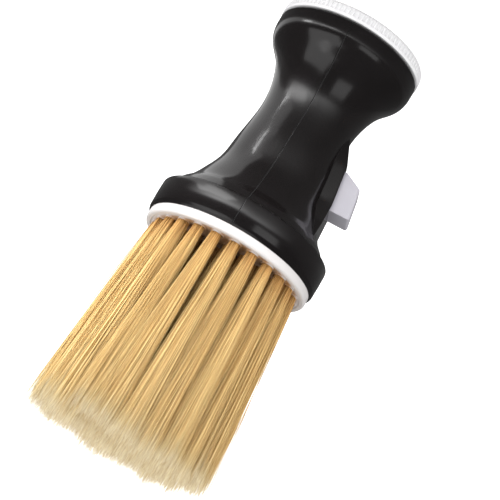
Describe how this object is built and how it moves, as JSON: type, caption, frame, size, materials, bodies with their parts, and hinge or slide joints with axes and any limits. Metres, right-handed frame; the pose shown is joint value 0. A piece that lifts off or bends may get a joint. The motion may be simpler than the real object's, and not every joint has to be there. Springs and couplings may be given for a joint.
{
  "type": "neck duster brush",
  "caption": "Barber's neck duster brush: hourglass handle with a powder tank, squeeze trigger, screw refill cap and a round plate of soft bristle tufts.",
  "frame": {"origin": "centre of the refill cap's flat outer face, on the brush's axis", "axes": "+Z along the axis from the cap to the bristle tips; +X towards the trigger; the brush stands on its cap"},
  "size_m": [0.069, 0.069, 0.175],
  "materials": {
    "black_plastic": "gloss",
    "white_plastic": "satin",
    "trigger_plastic": "satin",
    "milky_plastic": "satin",
    "grey_plastic": "satin",
    "seal_rubber": "matte",
    "spring_steel": "satin",
    "screw_steel": "satin",
    "anchor_steel": "satin",
    "bristle": "satin"
  },
  "bodies": {
    "handle": {"handle_shell_front": "black_plastic", "handle_shell_back": "black_plastic", "powder_tank": "milky_plastic", "return_spring": "spring_steel", "valve_body": "grey_plastic", "valve_cover": "grey_plastic", "valve_seal_lower": "seal_rubber", "valve_seal_upper": "seal_rubber", "valve_screws": "screw_steel", "outlet_tube": "milky_plastic", "powder_nozzle": "white_plastic", "bristle_plate": "white_plastic", "tufts_outer": "bristle", "tufts_middle": "bristle", "tufts_inner": "bristle", "tufts_core": "bristle", "tuft_anchors": "anchor_steel"},
    "trigger": {"trigger_button": "trigger_plastic", "valve_gate": "grey_plastic"},
    "cap_liner": {"cap_seal": "seal_rubber"},
    "cap": {"refill_cap": "white_plastic"}
  },
  "joints": [
    {"name": "trigger_press", "type": "slide", "parent": "handle", "child": "trigger", "axis": [-1, 0, 0], "range_m": [0, 0.006], "stiffness_N_per_m": 400, "springref_m": -0.004, "deforming": ["return_spring"]},
    {"name": "cap_lift", "type": "slide", "parent": "handle", "child": "cap_liner", "axis": [0, 0, -1], "range_m": [0, 0.00375]},
    {"name": "cap_turn", "type": "hinge", "parent": "cap_liner", "child": "cap", "pos_m": [0, 0, 0], "axis": [0, 0, -1], "range_deg": [0, 450]}
  ],
  "couplings": [
    {"joint": "cap_lift", "follows": "cap_turn", "m_per_rad": 0.00047746}
  ]
}
